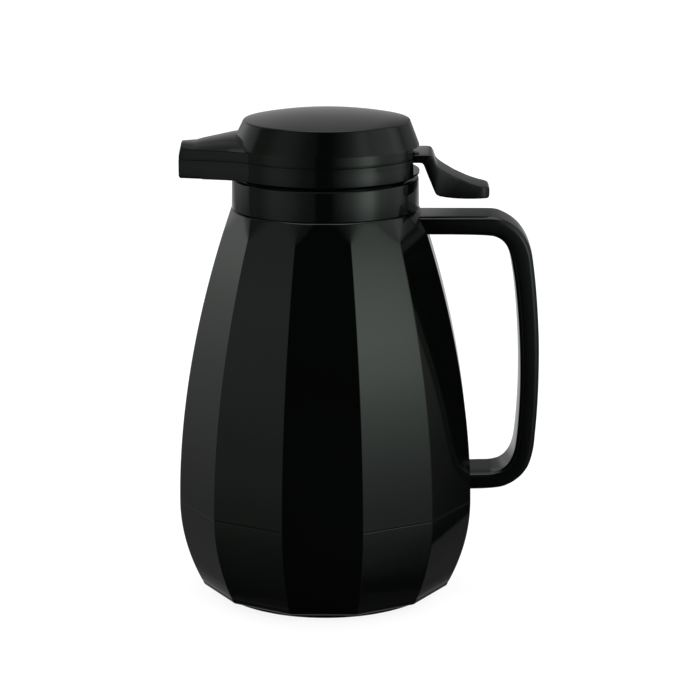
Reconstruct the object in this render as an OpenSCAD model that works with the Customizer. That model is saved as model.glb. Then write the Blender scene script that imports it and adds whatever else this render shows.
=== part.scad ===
// Thermal carafe with a twelve-sided body, a pouring lid with a thumb lever, and a loop handle.
// Millimetres, +Z up, origin at the centre of the base. The spout points to -X, the handle to +X.

/* [Body] */
// Number of flat sides of the body
sides = 12; // [12:4:24]
// Height of the widest ring, where the base cup meets the upper shell
ridge_z = 49; // [45.5:0.5:53]
// Half width across the flats at the widest ring
ridge_apothem = 72.5; // [71:0.5:78]
// Height of the shell's top edge, where the collar starts
shell_top_z = 194.9; // [189.5:0.2:213.5]
// Half width across the flats at the shell's top edge
shell_top_apothem = 46.3; // [46.3:0.1:49]
// Exponent of the shell's side curve, where 1 is straight and 2 is a parabola
shell_curve = 1.9; // [1.7:0.05:2.1]
// Thickness of the shell and the cup
shell_wall = 2.5; // [2:0.1:3]
// Height of the round shoulder that cuts the flats below the collar
shoulder_h = 12; // [8:0.5:16]
// Radial fall of the round shoulder over its height
shoulder_fall = 6; // [5:0.25:8]
// Half width across the flats at the cup's lowest edge
cup_foot_apothem = 61.5; // [58:0.5:66]
// Width and height of the slope round the cup's lowest edge
cup_edge = 1.5; // [0.5:0.1:2]
// Height of the round foot that the cup stands on
foot_h = 3.5; // [3:0.1:4.5]
// Radius of the round foot
foot_r = 55.5; // [50:0.5:56.5]
// Height of the cup's lip inside the shell
lip_h = 5; // [3:0.5:8]

/* [Collar] */
// Height of the neck collar above the shell
collar_h = 14.9; // [14:0.1:20]
// Outer radius of the collar at its foot
collar_r = 46.2; // [45:0.1:46.6]
// Radial taper of the collar from foot to top
collar_taper = 0.3; // [0:0.05:1]
// Radius of the bore that takes the lid's thread
collar_bore_r = 42; // [41.6:0.1:43]
// Depth of the collar's spigot inside the shell
spigot_h = 5.4; // [4:0.2:7]
// Thickness of the ledge that presses on the flask's rim
ledge_h = 1.5; // [1.2:0.1:2.5]

/* [Thread] */
// Rise of the lid in one full turn
thread_lead = 30; // [26:1:36]
// Number of thread starts
thread_starts = 4; // [3:1:4]
// Angle that one rib in the collar sweeps
rib_sweep = 60; // [40:5:65]
// Angle that one lug on the plug sweeps
lug_sweep = 40; // [20:5:45]
// Thickness of a rib or a lug
thread_t = 1.4; // [1:0.1:1.6]

/* [Flask] */
// Air gap between the shell's flats and the steel flask
flask_gap = 7; // [6:0.5:12]
// Height of the flask's underside above the ground
flask_z = 18.5; // [17.5:0.5:23]
// Height at which the flask starts to narrow
flask_shoulder_z = 91.5; // [73.5:1:98.5]
// Outer radius of the flask's neck
flask_neck_r = 38.4; // [37.8:0.1:38.8]
// Height of the straight neck
flask_neck_h = 18; // [14:0.5:24]
// Thickness of each steel wall
steel_t = 0.8; // [0.5:0.1:1]
// Vacuum gap between the two steel walls
vacuum_gap = 2.3; // [1.8:0.1:2.6]
// Radius of the flask's rounded bottom edge
flask_edge_r = 14; // [8:1:18]

/* [Base] */
// Radius of the round plug that closes the base
base_plug_r = 38; // [34:1:44]
// Thickness of the non-slip pad
pad_t = 1; // [0.6:0.1:1.4]
// Radius of the non-slip pad
pad_r = 33; // [28:1:33]

/* [Lid] */
// Gap between the collar's top and the lid
lid_gap = 2.4; // [1.5:0.1:4]
// Outer radius of the lid
lid_r = 46.1; // [45.5:0.1:47]
// Thickness of the flange under the lid
flange_t = 1; // [0.8:0.1:1.4]
// Height of the lid's lower shell, from the flange to the seam
lid_base_h = 7.5; // [7:0.1:9]
// Height of the straight wall above the seam
lid_wall_h = 5.3; // [4.8:0.1:8]
// Height of the cone above the straight wall
cone_h = 12.2; // [10:0.2:16]
// Radial taper of the cone
cone_taper = 4.8; // [2:0.1:7]
// Rise of the domed top
dome_h = 5.3; // [3:0.1:8]
// Thickness of the lid's walls
lid_wall = 2; // [1.6:0.1:2.4]

/* [Spout] */
// Distance from the axis to the spout's tip
spout_reach = 71.5; // [66:0.5:80]
// Half width of the spout at its tip
spout_tip_w = 9.8; // [9.5:0.1:13]
// Half width of the spout where it leaves the lid
spout_root_w = 29.5; // [26:0.5:31]
// Drop of the spout from the lid to its tip
spout_drop = 1.4; // [0:0.1:2]
// Crown of the spout's roof at the tip
spout_tip_crown = 2.4; // [1.5:0.1:3.5]
// Crown of the spout's roof where it leaves the lid
spout_root_crown = 9.6; // [7:0.1:11]
// Width of the flow channel inside the spout
duct_w = 15; // [12:0.5:16]
// Height of the flow channel inside the spout
duct_h = 4.6; // [4.4:0.1:4.8]

/* [Valve] */
// Radius of the plug's tube that enters the neck
plug_r = 33; // [32:0.1:33.4]
// Thickness of the plug's walls
plug_wall = 2; // [1.5:0.1:2.4]
// Depth of the plug below the collar's top
plug_depth = 22; // [20:0.5:30]
// Radius of the valve opening
valve_hole_r = 8; // [6:0.5:10]
// Radius of the valve stem
stem_r = 3; // [2:0.1:3.5]
// Wire thickness of the valve spring
spring_wire = 1; // [0.8:0.1:1.2]
// Mean radius of the valve spring
spring_r = 5.5; // [5:0.1:6.5]
// Number of curls of the valve spring
spring_curls = 6; // [4:1:7]

/* [Lever] */
// Distance from the axis to the lever's pin
pivot_x = 37.5; // [37:0.1:38]
// Height of the pin above the lid's flange
pivot_h = 7.7; // [7.4:0.1:8]
// Radius of the lever's pin
pin_r = 1.5; // [1.2:0.1:1.8]
// Width of the lever where it leaves the lid
lever_w = 30; // [26:0.5:31]
// Width of the lever near its tip
lever_tip_w = 21; // [16:0.5:24]
// Distance from the axis to the lever's tip
lever_reach = 80.5; // [74:0.5:88]
// Thickness of the lever where it leaves the lid
lever_t = 3.9; // [3:0.1:4]

/* [Handle] */
// Distance from the axis to the outer face of the grip
handle_reach = 106; // [100:0.5:115]
// Height of the upper arm's top face
handle_top_z = 192.1; // [185.5:0.2:192.5]
// Height of the lower arm's underside at the body
handle_low_z = 53; // [49.5:0.5:63.5]
// Thickness of the handle seen from the side
handle_t = 9; // [8:0.1:12]
// Width of the handle
handle_w = 27; // [22:0.5:29]
// Rounding of the handle's long edges
handle_round = 3.5; // [1:0.25:3.5]

/* [Hidden] */

// Clearances: slip fits, running fits, sealing lips and gaps between moving pieces
fit_gap = 0.2;
run_gap = 0.06;
seal_gap = 0.35;
joint_gap = 0.4;
thread_gap = 0.5;
// Lengthening of a cutting tool past the face that it cuts
over = 1;
// Number of facets on round faces
$fn = 96;

// Levels of the body and the lid
shell_steps = 14;
neck_land = 4;
cup_steps = 8;
half_angle = 180 / sides;
collar_top_z = shell_top_z + collar_h;
flange_z = collar_top_z + lid_gap;
flange_top_z = flange_z + flange_t;
seam_z = flange_top_z + lid_base_h;
cone_z = seam_z + lid_wall_h;
edge_z = cone_z + cone_h;
top_z = edge_z + dome_h;

// Base: the cup's floor, its lip and ring, the plug and the cushion
cup_floor_z = foot_h + shell_wall;
foot_rim = 4;
foot_hollow = 2.5;
cup_edge_z = foot_h + cup_edge;
seat_step = 2;
plug_ring_h = 6;
plug_ring_t = 3;
plug_floor_t = 2.5;
cushion_r = 24;
cushion_ring = 5;
cushion_t = 3;

// Flask: its girth, rim, neck and seal cap
flask_r = ridge_apothem - shell_wall - flask_gap;
flask_fall_power = 1.15;
rim_rise = 1.1;
flask_rim_z = shell_top_z + rim_rise;
neck_foot_z = flask_rim_z - flask_neck_h;
neck_in_r = flask_neck_r - 2 * steel_t - vacuum_gap;
gasket_t = 2.2;
cap_r = 7;
cap_h = 2;
cap_edge = 1;

// Collar: the spigot in the shell, the ledge over the flask's rim and the ribs of the thread
spigot_r = 43.2;
ledge_z = flask_rim_z + gasket_t;
ledge_gap = 1.85;
ledge_r = plug_r + ledge_gap;
rib_d = 1.9;
rib_in_r = collar_bore_r - rib_d;
rib_steps = 10;
rib_root = 0.5;
rib_z = collar_top_z - thread_t / 2 - joint_gap - thread_lead * rib_sweep / 360;

// Handle: its corners, its bow and its screws
handle_corner = 18;
top_bend = 1.3;
low_bend = 1.1;
low_reach = 0.8;
handle_bow = 3;
bow_top = 0.8;
bow_low = 0.55;
bow_mid = 0.9;
mid_share = 0.6;
handle_root = 6;
low_arm_rise = 0.3;
screw_r = 1.8;
screw_head_r = 3.2;
screw_head_h = 2;
screw_l = 16;
screw_y = 6.5;
screw_drop = 1.8;
upper_screw_z = handle_top_z - handle_t / 2 - screw_drop;
lower_screw_z = handle_low_z + handle_t / 2;
grip_x = handle_reach - handle_t / 2;
arm_top_z = handle_top_z - handle_t / 2;
arm_low_z = handle_low_z + handle_t / 2;
top_corner_x = grip_x - handle_bow - handle_corner;
low_corner_x = grip_x - handle_bow * bow_low - handle_corner * low_reach;

// Lid: its floor, the plug's skirt, lugs, seat and gasket groove
inner_r = lid_r - lid_wall;
floor_t = 1.5;
floor_top_z = flange_top_z + floor_t;
flange_lip = 0.2;
skirt_r = rib_in_r - thread_gap;
skirt_t = 1.7;
skirt_lift = 1.3;
skirt_z = ledge_z + ledge_h + skirt_lift;
plug_low_z = collar_top_z - plug_depth;
lug_lag = 5;
lug_z = rib_z - thread_t - thread_gap + thread_lead * lug_lag / 360;
seat_t = 2;
groove_d = 1;
groove_h = 3;
groove_z = plug_low_z + groove_h;

// Lid screws, and the cover's posts that they hold
post_place_r = (plug_r + skirt_r - skirt_t) / 2;
post_r = 2.3;
lid_screw_r = 1.2;
lid_screw_head_r = 2;
lid_screw_head_h = 1.6;
lid_screw_l = 9;
post_angles = [48, 132, 228, 312];

// Chamber over the valve, and the duct to the spout
duct_wall = 1;
duct_top_z = flange_top_z + duct_h + 2 * duct_wall;
chamber_top_z = duct_top_z + fit_gap;
chamber_lid_t = 1.5;
guide_wall = 2;
guide_r = stem_r + guide_wall;
guide_h = 4;
guide_rise = 1;
guide_top_z = chamber_top_z + chamber_lid_t + guide_rise;
seal_ring_t = 1.6;

// Spout: where it leaves the lid, where it starts inside and where its roof bends
spout_root_x = 35;
spout_inner_x = 28;
spout_tip_l = 8;
spout_bend_x = spout_reach - spout_tip_l;
spout_hang = 0.7;
spout_low_z = flange_z - spout_hang;
spout_sink = 0.3;
spout_edge_z = cone_z - spout_sink;
spout_roof_power = 2.5;
spout_edge_share = 0.7;
tip_step = 0.3;
tip_lean = 1.3;
side_step = 0.15;
window_step = 2;

// Lever: its pin, its ears in the lid, its hub and its two arms
pivot_z = flange_top_z + pivot_h;
slot_gap = 1.8;
slot_half_w = lever_w / 2 + slot_gap;
slot_drop = 0.2;
slot_top_z = cone_z - slot_drop;
ear_t = 3;
ear_l = 5;
ear_top = 2.5;
tab_top_z = pivot_z + lever_t / 2;
web_gap = 1.5;
web_x = lid_r + web_gap;
web_run = 6.1;
web_t = 3.6;
knee_run = 7;
knee_drop = 5.4;
lever_drop = 22.3;
tab_t = 5.8;
tab_round = 2.8;
tab_corner = 5;
tab_edge = 1.2;
hub_r = 3.1;
arm_w = 4;
arm_gap = 0.6;
arm_y = guide_r + arm_gap + arm_w / 2;
arm_r = 2;
arm_h = 3.6;
arm_lift = 0.5;
arm_z = chamber_top_z + chamber_lid_t + arm_lift + arm_h / 2;

// Valve: the stem's head, the spring over it and the seal under it
head_z = arm_z + arm_r + joint_gap;
head_t = 1.8;
head_r = 11;
nipple_r = 3.4;
nipple_h = 2;
spring_low_z = head_z + head_t;
spring_l = 12;
spring_top_z = spring_low_z + spring_l;
spring_post_r = 3.6;
spring_post_h = 3;
spring_seat = 3;
spring_boss_r = spring_r + spring_seat;
seal_z = plug_low_z + seat_t;
seal_h = 3;
disc_t = 1.5;
disc_edge = 1;
seal_edge = 2;

// Half width across the flats at a height of the upper shell
function shell_apothem(z) =
    ridge_apothem - (ridge_apothem - shell_top_apothem)
    * pow(max(0, (z - ridge_z) / (shell_top_z - ridge_z)), shell_curve);

// Inward lean of the upper shell at a height, in millimetres a millimetre
function shell_lean(z) = shell_apothem(z - 0.5) - shell_apothem(z + 0.5);

// Half width across the flats at a height of the base cup
function cup_apothem(z) =
    ridge_apothem - (ridge_apothem - cup_foot_apothem)
    * pow((ridge_z - z) / (ridge_z - cup_edge_z), 2);

// Value or point at a share t of the way from a to b
function mix(a, b, t) = a + (b - a) * t;

// Heights from a to b in n equal steps
function levels(a, b, n) = [for (i = [0:n]) mix(a, b, i / n)];

// Solid through rings of points, closed by flat ends
module loft(rings) {
    n = len(rings[0]);
    last = len(rings) - 1;
    points = [for (ring = rings) for (p = ring) p];
    walls = [
        for (i = [0:last - 1])
            for (k = [0:n - 1])
                [i * n + k, i * n + (k + 1) % n, (i + 1) * n + (k + 1) % n, (i + 1) * n + k]
    ];
    ends = [[for (k = [n - 1:-1:0]) k], [for (k = [0:n - 1]) last * n + k]];
    polyhedron(points = points, faces = concat(walls, ends), convexity = 8);
}

// Upright solid with flat sides, from pairs of half width across the flats and height
module flat_sided(profile) {
    loft([
        for (p = profile)
            [for (k = [0:sides - 1]) let (a = -(2 * k + 1) * half_angle)
                [p[0] / cos(half_angle) * cos(a), p[0] / cos(half_angle) * sin(a), p[1]]]
    ]);
}

// Ring between two radii from a height upwards
module ring(r_out, r_in, z, h) {
    translate([0, 0, z])
        difference() {
            cylinder(r = r_out, h = h);
            translate([0, 0, -over])
                cylinder(r = r_in, h = h + 2 * over);
        }
}

// Helical rib between two radii, whose middle starts at angle a0 and height z0
module helix_rib(r_in, r_out, a0, sweep, z0) {
    half = thread_t / 2;
    loft([
        for (i = [0:rib_steps])
            let (a = a0 + sweep * i / rib_steps)
            let (z = z0 + thread_lead * sweep * i / rib_steps / 360)
            [
                [r_out * cos(a), r_out * sin(a), z - half],
                [r_out * cos(a), r_out * sin(a), z + half],
                [r_in * cos(a), r_in * sin(a), z + half],
                [r_in * cos(a), r_in * sin(a), z - half]
            ]
    ]);
}

// Body: the two shells meet at the widest ring
shell_profile = [for (z = levels(ridge_z, shell_top_z, shell_steps)) [shell_apothem(z), z]];
cup_profile = concat(
    [[cup_foot_apothem - cup_edge, foot_h]],
    [for (z = levels(cup_edge_z, ridge_z, cup_steps)) [cup_apothem(z), z]]
);

// Space inside the round shoulder, which cuts the tops of the flats to arches
module shoulder_space() {
    translate([0, 0, shell_top_z - shoulder_h])
        cylinder(r1 = collar_r + fit_gap + shoulder_fall, r2 = collar_r + fit_gap, h = shoulder_h);
    cylinder(r = 2 * ridge_apothem, h = shell_top_z - shoulder_h);
}

// Body without its hollow, used to trim what butts against it
module body_outside() {
    intersection() {
        flat_sided(concat(cup_profile, [for (i = [1:shell_steps]) shell_profile[i]]));
        shoulder_space();
    }
}

module outer_shell() {
    hollow = [
        for (z = levels(ridge_z - over, shell_top_z - neck_land, shell_steps))
            [shell_apothem(z) - shell_wall, z]
    ];
    color("#15171a")
        difference() {
            intersection() {
                flat_sided(shell_profile);
                shoulder_space();
            }
            flat_sided(hollow);
            cylinder(r = spigot_r + fit_gap, h = shell_top_z + over);
            handle_screw_places() {
                cylinder(r = screw_r + fit_gap, h = screw_l);
                translate([0, 0, -shell_wall])
                    cylinder(r = screw_head_r + fit_gap, h = shell_wall);
            }
        }
}

module base_cup() {
    lip_apothem = shell_apothem(ridge_z + lip_h) - shell_wall - fit_gap;
    hollow = [
        for (z = levels(cup_floor_z, ridge_z + over, cup_steps))
            [cup_apothem(min(z, ridge_z)) - shell_wall, z]
    ];
    color("#15171a") {
        difference() {
            union() {
                flat_sided(cup_profile);
                cylinder(r = foot_r, h = foot_h + shell_wall / 2);
            }
            flat_sided(hollow);
            translate([0, 0, -over])
                cylinder(r = foot_r - foot_rim, h = foot_hollow + over);
            translate([0, 0, -over])
                cylinder(r = base_plug_r + seat_step + fit_gap, h = foot_h + over);
            translate([0, 0, -over])
                cylinder(r = base_plug_r + fit_gap, h = cup_floor_z + 2 * over);
        }
        ring(base_plug_r + fit_gap + plug_ring_t, base_plug_r + fit_gap, cup_floor_z - over,
            plug_ring_h + over);
        difference() {
            flat_sided([
                [ridge_apothem - shell_wall / 2, ridge_z - lip_h],
                [ridge_apothem - shell_wall / 2, ridge_z],
                [lip_apothem, ridge_z],
                [lip_apothem, ridge_z + lip_h]
            ]);
            flat_sided([
                [lip_apothem - shell_wall, ridge_z - lip_h - over],
                [lip_apothem - shell_wall, ridge_z + lip_h + over]
            ]);
        }
    }
}

// Round plug that screws into the cup's floor and carries the flask
module base_plug() {
    color("#1b1d1f") {
        difference() {
            union() {
                translate([0, 0, pad_t])
                    cylinder(r = base_plug_r, h = flask_z - cushion_t - pad_t);
                translate([0, 0, pad_t])
                    cylinder(r = base_plug_r + seat_step, h = foot_h - pad_t);
            }
            translate([0, 0, pad_t + plug_floor_t])
                cylinder(r = base_plug_r - plug_ring_t, h = flask_z);
        }
        ring(cushion_r, cushion_r - cushion_ring, pad_t + plug_floor_t - over,
            flask_z - cushion_t - pad_t - plug_floor_t + over);
    }
}

module base_pad() {
    color("#2a2b2c")
        cylinder(r = pad_r, h = pad_t);
}

// Half section of the flask's outside, moved inwards by an inset
function flask_section(inset) =
    let (r = flask_r - inset)
    let (edge = flask_edge_r - inset)
    let (z0 = flask_z + inset)
    let (fall = flask_r - flask_neck_r)
    concat(
        [[0, z0]],
        [for (a = [-90:15:0]) [r - edge + edge * cos(a), z0 + edge + edge * sin(a)]],
        [for (t = [0:0.125:1]) [r - fall * (1 - cos(180 * pow(t, flask_fall_power))) / 2,
            mix(flask_shoulder_z, neck_foot_z, t)]]
    );

// Solid inside the flask's outline at an inset, up to a height
module flask_solid(inset, z_end) {
    rotate_extrude()
        polygon(concat(flask_section(inset), [[flask_neck_r - inset, z_end], [0, z_end]]));
}

module flask_outer_wall() {
    color("#8f9296")
        difference() {
            flask_solid(0, flask_rim_z - steel_t);
            flask_solid(steel_t, flask_rim_z + over);
        }
}

// Bottle that holds the drink, with the rim that joins it to the outer wall
module flask_inner_wall() {
    color("#b4b7ba")
        difference() {
            union() {
                flask_solid(steel_t + vacuum_gap, flask_rim_z);
                translate([0, 0, flask_rim_z - steel_t])
                    cylinder(r = flask_neck_r, h = steel_t);
            }
            flask_solid(2 * steel_t + vacuum_gap, flask_rim_z + over);
        }
}

// Cap over the point where the flask was pumped out and sealed
module flask_seal_cap() {
    color("#7f8286")
        translate([0, 0, flask_z - cap_h])
            cylinder(r1 = cap_r - cap_edge, r2 = cap_r, h = cap_h);
}

module flask_cushion() {
    color("#3a3b3c")
        ring(cushion_r, cushion_r - cushion_ring, flask_z - cushion_t, cushion_t);
}

// Collar that clamps the flask's rim and takes the lid's thread
module neck_collar() {
    color("#17191b") {
        difference() {
            union() {
                translate([0, 0, shell_top_z])
                    cylinder(r1 = collar_r, r2 = collar_r - collar_taper, h = collar_h);
                translate([0, 0, shell_top_z - spigot_h])
                    cylinder(r = spigot_r, h = spigot_h + over);
            }
            translate([0, 0, ledge_z + ledge_h])
                cylinder(r = collar_bore_r, h = collar_h);
            translate([0, 0, shell_top_z - spigot_h - over])
                cylinder(r = flask_neck_r + fit_gap, h = ledge_z - shell_top_z + spigot_h + over);
            translate([0, 0, shell_top_z])
                cylinder(r = ledge_r, h = collar_h);
        }
        for (k = [0:thread_starts - 1])
            helix_rib(rib_in_r, collar_bore_r + rib_root, k * 360 / thread_starts, rib_sweep, rib_z);
    }
}

module neck_gasket() {
    color("#c9c7c0")
        ring(flask_neck_r, ledge_r, flask_rim_z, gasket_t);
}

// Places the handle's four screws, pointing outwards from their seats inside the shell
module handle_screw_places() {
    for (z = [upper_screw_z, lower_screw_z])
        for (y = [-screw_y, screw_y])
            translate([shell_apothem(z) - shell_wall - screw_head_r * shell_lean(z), y, z])
                rotate([0, 90, 0])
                    children();
}

// Point of a smooth bend from p to q towards the corner c
function bend(p, c, q, t) = mix(mix(p, c, t), mix(c, q, t), t);

// Middle line of the handle in the XZ plane: upper arm, corner, grip, corner, lower arm
grip_top = [grip_x - handle_bow * bow_top, arm_top_z - handle_corner * top_bend];
grip_low = [grip_x - handle_bow * bow_low, arm_low_z + handle_corner * low_bend];
grip_bulge = [grip_x + handle_bow * bow_mid, mix(arm_top_z, arm_low_z, mid_share)];
top_corner = [grip_x - handle_bow * top_bend, arm_top_z];
low_corner = [grip_x - handle_bow * bow_mid, arm_low_z + low_arm_rise];
handle_line = concat(
    [[shell_top_apothem - handle_root, arm_top_z], [mix(shell_top_apothem, top_corner_x, 0.5), arm_top_z]],
    [for (t = [0:0.125:1]) bend([top_corner_x, arm_top_z], top_corner, grip_top, t)],
    [for (t = [0.15:0.14:0.86]) bend(grip_top, grip_bulge, grip_low, t)],
    [for (t = [0:0.125:1]) bend(grip_low, low_corner, [low_corner_x, low_corner[1]], t)],
    [[ridge_apothem - handle_root, arm_low_z - low_arm_rise / 2]]
);

// Outline of the bar's section, a rectangle with round corners: across the bar, then along Y
handle_section = [
    for (q = [0:3])
        for (a = [0:30:90])
            let (side_x = q == 0 || q == 3 ? 1 : -1)
            let (side_y = q < 2 ? 1 : -1)
            [side_x * (handle_t / 2 - handle_round) + handle_round * cos(q * 90 + a),
                side_y * (handle_w / 2 - handle_round) + handle_round * sin(q * 90 + a)]
];

// Direction of a line at one of its points
function line_dir(line, i) =
    let (step = line[min(i + 1, len(line) - 1)] - line[max(i - 1, 0)])
    step / norm(step);

module handle() {
    color("#141517")
        difference() {
            loft([
                for (i = [0:len(handle_line) - 1])
                    let (d = line_dir(handle_line, i))
                    [for (s = handle_section)
                        [handle_line[i][0] - d[1] * s[0], s[1], handle_line[i][1] + d[0] * s[0]]]
            ]);
            body_outside();
            handle_screw_places()
                cylinder(r = screw_r, h = screw_l + over);
        }
}

module handle_screws() {
    color("#8a8c8f")
        handle_screw_places() {
            cylinder(r = screw_r, h = screw_l);
            translate([0, 0, -screw_head_h])
                cylinder(r = screw_head_r, h = screw_head_h);
        }
}

// Half width of the spout at a distance from the axis
function spout_w(x) = mix(spout_root_w, spout_tip_w, (x - spout_root_x) / (spout_reach - spout_root_x));

// Drop of the spout at a distance from the axis
function spout_sag(x) = spout_drop * max(0, x - lid_r) / (spout_reach - lid_r);

// Section of the spout's lower half between two heights, each with the spout's drop added
function spout_low_ring(x, wall, low, high) =
    let (w = spout_w(x) - wall)
    let (drop = spout_sag(x))
    [[-x, -w, low - drop], [-x, -w, high - drop], [-x, w, high - drop], [-x, w, low - drop]];

// Section of the spout's upper half under its crowned roof, moved inwards by a wall
function spout_high_ring(x, lean, side, roof, z_low) =
    let (w = spout_w(x) - side)
    let (edge = spout_edge_z - spout_sag(x) * spout_edge_share - roof)
    let (share = (x - spout_root_x) / (spout_bend_x - spout_root_x))
    let (crown = mix(spout_root_crown, spout_tip_crown, min(1, share)))
    concat(
        [[-x, -w, z_low - spout_sag(x)]],
        [for (t = [-1:1 / 8:1])
            let (rise = 1 - pow(abs(t), spout_roof_power))
            [-x + lean * (1 + rise) / 2, w * t, edge + crown * rise]],
        [[-x, w, z_low - spout_sag(x)]]
    );

// Solid of the spout's upper half, moved inwards by a wall and sideways by an extra step
module spout_high(wall, step, z_low) {
    tip_x = spout_reach - tip_step - wall;
    loft([
        for (x = [tip_x, spout_bend_x, lid_r, spout_inner_x])
            spout_high_ring(x, x == tip_x ? tip_lean : 0, wall + step, wall, z_low)
    ]);
}

// Cut for the lever through the lid's wall
module lever_slot(z_from, z_to) {
    translate([pivot_x - over, -slot_half_w, z_from])
        cube([lid_r, 2 * slot_half_w, z_to - z_from]);
}

// Cylinder on the lever's axis
module pin_line(r, l) {
    translate([pivot_x, 0, pivot_z])
        rotate([90, 0, 0])
            cylinder(r = r, h = l, center = true);
}

// Straight channel along the spout, grown by a gap, between two distances from the axis
module duct_space(gap, x_in, x_out) {
    translate([-x_out, -duct_w / 2 - duct_wall - gap, flange_top_z - gap])
        cube([x_out - x_in, duct_w + 2 * (duct_wall + gap), duct_h + 2 * (duct_wall + gap)]);
}

// Copies a piece to the places of the lid's screws
module lid_screw_places() {
    for (a = post_angles)
        rotate([0, 0, a])
            translate([post_place_r, 0, 0])
                children();
}

// Lower shell of the lid, with the spout's lower half and the ears for the lever's pin
module lid_base() {
    color("#1a1b1d") {
        difference() {
            union() {
                translate([0, 0, flange_top_z])
                    cylinder(r = lid_r, h = lid_base_h);
                loft([
                    for (x = [spout_reach, lid_r, spout_inner_x])
                        spout_low_ring(x, 0, spout_low_z, seam_z)
                ]);
            }
            translate([0, 0, floor_top_z])
                cylinder(r = inner_r, h = lid_base_h + over);
            translate([0, 0, flange_z])
                cylinder(r = plug_r + fit_gap, h = lid_base_h);
            translate([0, 0, spout_low_z - spout_drop])
                cylinder(r = lid_r + flange_lip + fit_gap, h = flange_top_z - spout_low_z + spout_drop);
            loft([
                spout_low_ring(spout_reach - lid_wall, lid_wall, spout_low_z + lid_wall, seam_z + over),
                spout_low_ring(lid_r, lid_wall, floor_top_z, seam_z + over),
                spout_low_ring(spout_inner_x, lid_wall, floor_top_z, seam_z + over)
            ]);
            lever_slot(flange_top_z - over, seam_z + over);
            duct_space(fit_gap, plug_r - plug_wall, spout_reach + over);
            lid_screw_places()
                translate([0, 0, flange_z])
                    cylinder(r = lid_screw_r + fit_gap, h = lid_base_h);
        }
        for (s = [-1, 1])
            difference() {
                translate([pivot_x - ear_l / 2, s * (lever_w / 2 + joint_gap + ear_t / 2) - ear_t / 2,
                    floor_top_z - over])
                    cube([ear_l, ear_t, pivot_z - floor_top_z + over + ear_top]);
                pin_line(pin_r, 2 * lid_r);
            }
    }
}

// Space inside the lid's top surface, moved inwards by an inset, above a height
module cover_space(inset, z_low) {
    edge_r = lid_r - cone_taper;
    dome_r = (pow(edge_r, 2) + pow(dome_h, 2)) / (2 * dome_h);
    rotate_extrude()
        polygon(concat(
            [[0, z_low], [lid_r - inset, z_low], [lid_r - inset, cone_z]],
            [for (i = [0:8])
                let (r = (edge_r - inset) * (1 - i / 8))
                [r, top_z - inset - dome_r + sqrt(pow(dome_r, 2) - pow(r, 2))]]
        ));
}

// Cover of the lid, with the spout's upper half, the screw posts and the spring's seat
module lid_cover() {
    color("#1c1d1f") {
        difference() {
            union() {
                cover_space(0, seam_z);
                spout_high(0, side_step, seam_z);
            }
            cover_space(lid_wall, seam_z - over);
            spout_high(lid_wall, side_step, seam_z - over);
            lever_slot(seam_z - over, slot_top_z);
            duct_space(fit_gap, plug_r, spout_reach + over);
        }
        intersection() {
            union() {
                translate([0, 0, spring_top_z - spring_post_h])
                    cylinder(r = spring_post_r, h = lid_r);
                translate([0, 0, spring_top_z])
                    cylinder(r = spring_boss_r, h = lid_r);
                lid_screw_places()
                    translate([0, 0, floor_top_z])
                        difference() {
                            cylinder(r = post_r, h = lid_r);
                            translate([0, 0, -over])
                                cylinder(r = lid_screw_r, h = lid_screw_l + over);
                        }
            }
            cover_space(lid_wall / 2, flange_z);
        }
    }
}

// Plug that screws into the collar: flange, threaded skirt, and the tube with the valve's seat
module lid_plug() {
    color("#202123") {
        difference() {
            union() {
                translate([0, 0, plug_low_z])
                    cylinder(r = plug_r, h = chamber_top_z - plug_low_z);
                translate([0, 0, skirt_z])
                    cylinder(r = skirt_r, h = flange_z - skirt_z);
                translate([0, 0, flange_z])
                    cylinder(r = lid_r + flange_lip, h = flange_t);
            }
            ring(skirt_r - skirt_t, plug_r, skirt_z + seat_t, flange_z - skirt_z - seat_t);
            translate([0, 0, plug_low_z + seat_t])
                cylinder(r = plug_r - plug_wall, h = top_z);
            translate([0, 0, plug_low_z - over])
                cylinder(r = valve_hole_r, h = seat_t + 2 * over);
            ring(plug_r + over, plug_r - groove_d, groove_z, groove_h);
            duct_space(fit_gap, plug_r - plug_wall - window_step, plug_r + over);
            lid_screw_places() {
                translate([0, 0, skirt_z - over])
                    cylinder(r = lid_screw_head_r + fit_gap, h = seat_t + 2 * over);
                translate([0, 0, flange_z - over])
                    cylinder(r = lid_screw_r + fit_gap, h = flange_t + 2 * over);
            }
        }
        for (k = [0:thread_starts - 1])
            helix_rib(skirt_r - rib_root, collar_bore_r - thread_gap, k * 360 / thread_starts + lug_lag,
                lug_sweep, lug_z);
    }
}

// Sealing ring in the plug's groove, with a lip against the flask's neck
module lid_gasket() {
    height = groove_h - 2 * run_gap;
    color("#b9b7b0")
        translate([0, 0, groove_z + run_gap])
            difference() {
                union() {
                    cylinder(r = plug_r + run_gap, h = height);
                    translate([0, 0, height / 3])
                        cylinder(r = neck_in_r - seal_gap, h = height / 3);
                }
                translate([0, 0, -over])
                    cylinder(r = plug_r - groove_d + run_gap, h = height + 2 * over);
            }
}

// Lid of the valve's chamber, with the guide for the stem
module chamber_cover() {
    color("#2b2c2e")
        difference() {
            union() {
                translate([0, 0, chamber_top_z])
                    cylinder(r = plug_r, h = chamber_lid_t);
                translate([0, 0, chamber_top_z - guide_h])
                    cylinder(r = guide_r, h = guide_top_z - chamber_top_z + guide_h);
            }
            translate([0, 0, chamber_top_z - guide_h - over])
                cylinder(r = stem_r + run_gap, h = guide_top_z - chamber_top_z + guide_h + 2 * over);
        }
}

module stem_seal() {
    color("#b9b7b0")
        ring(guide_r, stem_r + run_gap, chamber_top_z - guide_h - seal_ring_t, seal_ring_t);
}

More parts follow.
